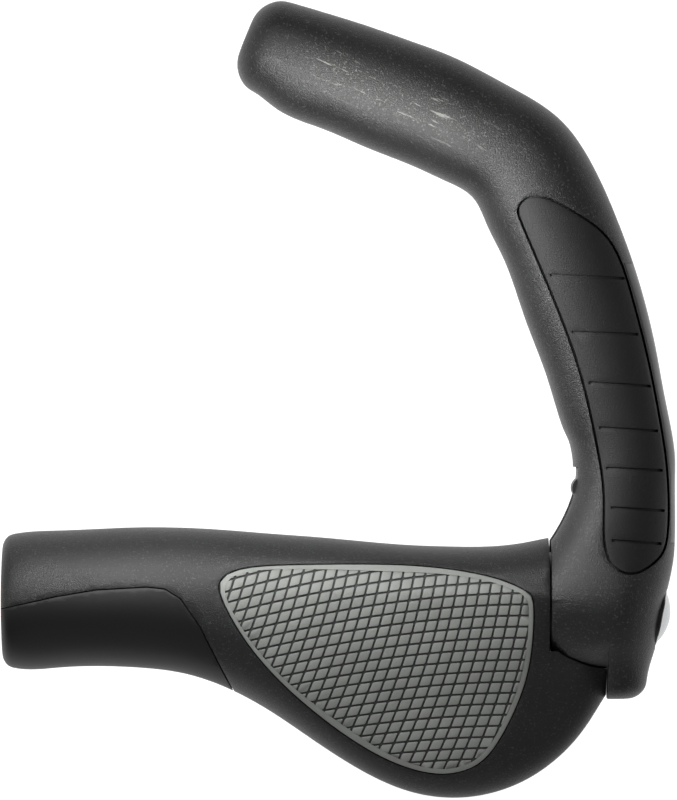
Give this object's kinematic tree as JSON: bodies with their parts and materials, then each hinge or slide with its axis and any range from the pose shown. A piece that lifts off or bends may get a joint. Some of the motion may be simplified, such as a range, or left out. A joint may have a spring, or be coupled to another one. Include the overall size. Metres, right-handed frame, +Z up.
{
  "type": "bar end grip",
  "caption": "Right-hand ergonomic bicycle grip with a rear palm wing and a long curved bar end that turns about the handlebar on a clamp.",
  "frame": {"origin": "on the handlebar's axis at the inner end face of the grip", "axes": "+X outward along the handlebar, +Y forward, +Z up"},
  "size_m": [0.168, 0.1995, 0.0342],
  "materials": {
    "core_plastic": "moulded glass-filled plastic",
    "grip_rubber": "fine matte grain",
    "pad_rubber": "grey matte rubber with diamond tiles",
    "panel_rubber": "smooth matte",
    "horn_plastic": "charcoal, fine grain, slightly rubbed",
    "horn_rubber": "matte with cross grooves",
    "cover_plastic": "satin moulded plastic",
    "silver_finish": "satin silver",
    "clamp_alloy": "bead-blasted, anodised black",
    "bolt_steel": "dark zinc plating"
  },
  "bodies": {
    "grip": {"grip_core": "core_plastic", "grip_skin": "grip_rubber", "palm_pad": "pad_rubber", "inner_panel": "panel_rubber"},
    "bar_end": {"horn_body": "horn_plastic", "upper_pad": "horn_rubber", "lower_pad": "horn_rubber", "side_cover": "cover_plastic", "end_plug": "cover_plastic", "cap_badge": "silver_finish", "clamp": "clamp_alloy", "clamp_nut": "bolt_steel"},
    "washer": {"bolt_washer": "bolt_steel"},
    "bolt": {"clamp_bolt": "bolt_steel"}
  },
  "joints": [
    {"name": "bar_end_tilt", "type": "hinge", "parent": "grip", "child": "bar_end", "pos_m": [0.15, 0, 0], "axis": [1, 0, 0], "range_deg": [-30, 60]},
    {"name": "bolt_travel", "type": "slide", "parent": "bar_end", "child": "washer", "axis": [0, 0, -1], "range_m": [0, 0.0016]},
    {"name": "bolt_turn", "type": "hinge", "parent": "washer", "child": "bolt", "pos_m": [0.1495, 0.024, 0], "axis": [0, 0, -1], "range_deg": [0, 720]}
  ],
  "couplings": [
    {"joint": "bolt_turn", "follows": "bolt_travel", "rad_per_m": 7854}
  ]
}
